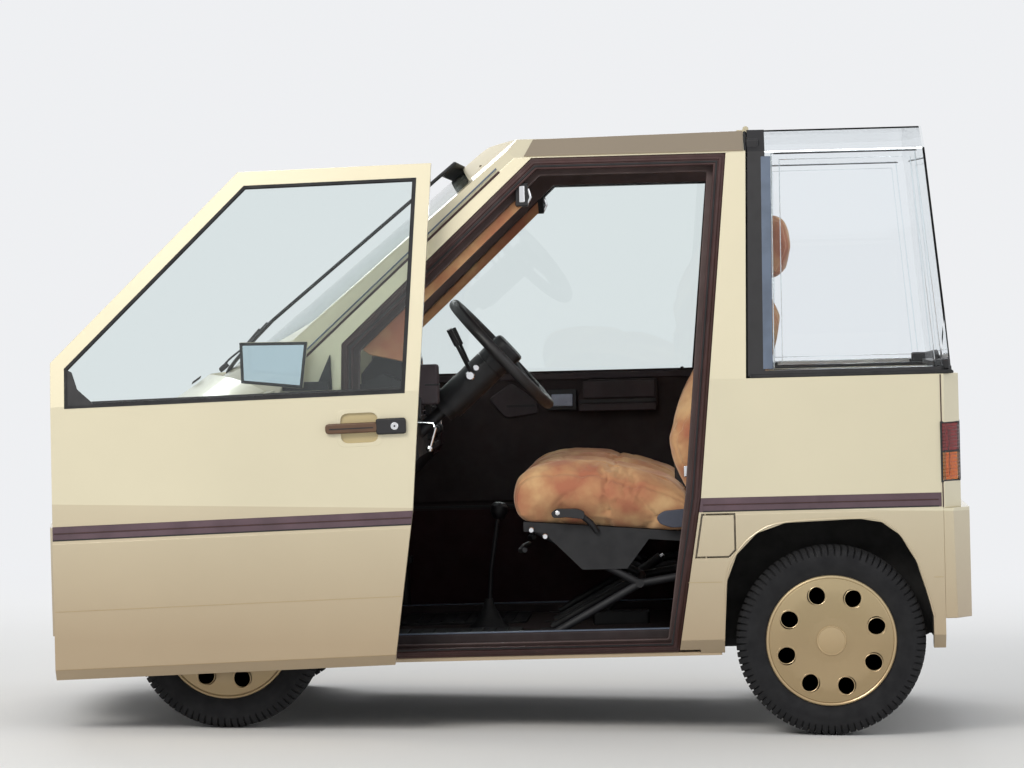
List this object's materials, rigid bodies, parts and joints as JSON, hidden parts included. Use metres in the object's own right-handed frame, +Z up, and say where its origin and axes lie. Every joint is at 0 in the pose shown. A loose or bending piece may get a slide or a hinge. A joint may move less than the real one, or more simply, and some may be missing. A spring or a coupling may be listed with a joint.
{
  "type": "two-seat city car",
  "caption": "Short two-seat city car with a clear rear canopy, tall cabin, one swing-sliding door stored open beside the front wing, steered front wheels and lifting bonnet and canopy.",
  "frame": {"origin": "bottom centre of the box around the whole car, with its left door open, on the ground", "axes": "+X to the nose of the car, +Y to its left, +Z up"},
  "size_m": [2.5054, 1.9094, 1.6288],
  "materials": {
    "paint": "gloss",
    "wheel_paint": "satin",
    "underseal": "matte",
    "dark_steel": "satin",
    "strip": "matte",
    "lining": "matte",
    "handle": "satin",
    "black_plastic": "matte",
    "glass": "gloss",
    "acrylic": "gloss",
    "lamp_clear": "gloss",
    "lamp_red": "gloss",
    "suede": "matte",
    "tyre": "matte"
  },
  "bodies": {
    "body": {"bumper_front": "paint", "bumper_rear": "paint", "cowl": "paint", "dash": "black_plastic", "door_arms": "dark_steel", "door_frames": "lining", "door_glass": "glass", "door_handles": "handle", "door_left": "paint", "door_right": "paint", "door_trims": "lining", "engine": "dark_steel", "exhaust": "dark_steel", "firewall": "underseal", "floor_pan": "underseal", "front_suspension": "dark_steel", "fuel_tank": "black_plastic", "grille": "black_plastic", "headlamps": "lamp_clear", "mirror_glasses": "glass", "mirrors": "black_plastic", "nose_panel": "paint", "rear_axle": "dark_steel", "roof": "paint", "seat_frames": "dark_steel", "seat_left": "suede", "seat_right": "suede", "side_left": "paint", "side_right": "paint", "side_strips": "strip", "sills": "paint", "steering_column": "black_plastic", "subframe": "dark_steel", "tail_lamps": "lamp_red", "tail_panel": "paint", "tow_eyes": "dark_steel", "wheelhouses_front": "underseal", "wheelhouses_rear": "underseal", "windscreen": "glass", "wing_left": "paint", "wing_right": "paint"},
    "knuckle_left": {"knuckle_left": "dark_steel"},
    "knuckle_right": {"knuckle_right": "dark_steel"},
    "wheel_front_left": {"wheel_front_left": "wheel_paint", "tyre_front_left": "tyre"},
    "wheel_front_right": {"wheel_front_right": "wheel_paint", "tyre_front_right": "tyre"},
    "wheel_rear_left": {"wheel_rear_left": "wheel_paint", "tyre_rear_left": "tyre"},
    "wheel_rear_right": {"wheel_rear_right": "wheel_paint", "tyre_rear_right": "tyre"},
    "steering_wheel": {"steering_wheel": "black_plastic"},
    "hood": {"hood": "paint"},
    "canopy": {"canopy_frame": "black_plastic", "canopy_glass": "acrylic"},
    "fuel_flap": {"fuel_flap": "paint"}
  },
  "joints": [
    {"name": "steer_left", "type": "hinge", "parent": "body", "child": "knuckle_left", "pos_m": [0.72515, 0.63489, 0.252], "axis": [0.0349, 0, 0.9994], "range_deg": [-28, 28]},
    {"name": "steer_right", "type": "hinge", "parent": "body", "child": "knuckle_right", "pos_m": [0.72515, -0.60511, 0.252], "axis": [0.0349, 0, 0.9994], "range_deg": [-28, 28]},
    {"name": "wheel_front_left_spin", "type": "hinge", "parent": "knuckle_left", "child": "wheel_front_left", "pos_m": [0.72515, 0.67939, 0.252], "axis": [0, 1, 0], "continuous": true},
    {"name": "wheel_front_right_spin", "type": "hinge", "parent": "knuckle_right", "child": "wheel_front_right", "pos_m": [0.72515, -0.64961, 0.252], "axis": [0, 1, 0], "continuous": true},
    {"name": "wheel_rear_left_spin", "type": "hinge", "parent": "body", "child": "wheel_rear_left", "pos_m": [-0.87885, 0.67939, 0.252], "axis": [0, 1, 0], "continuous": true},
    {"name": "wheel_rear_right_spin", "type": "hinge", "parent": "body", "child": "wheel_rear_right", "pos_m": [-0.87885, -0.64961, 0.252], "axis": [0, 1, 0], "continuous": true},
    {"name": "steering_wheel_turn", "type": "hinge", "parent": "body", "child": "steering_wheel", "pos_m": [0.01851, 0.35989, 0.99729], "axis": [-0.7193, 0, 0.6947], "range_deg": [-397, 397]},
    {"name": "hood_hinge", "type": "hinge", "parent": "body", "child": "hood", "pos_m": [1.23222, 0.01489, 0.62421], "axis": [0, 1, 0], "range_deg": [0, 55]},
    {"name": "canopy_hinge", "type": "hinge", "parent": "body", "child": "canopy", "pos_m": [-0.63906, 0.01489, 1.60861], "axis": [0, 1, 0], "range_deg": [0, 70]},
    {"name": "fuel_flap_hinge", "type": "hinge", "parent": "body", "child": "fuel_flap", "pos_m": [-0.54312, 0.75739, 0.53061], "axis": [-0.0349, 0, -0.9994], "range_deg": [0, 80]}
  ],
  "couplings": [
    {"joint": "steer_right", "follows": "steer_left", "ratio": 1},
    {"joint": "steering_wheel_turn", "follows": "steer_left", "ratio": 14}
  ]
}
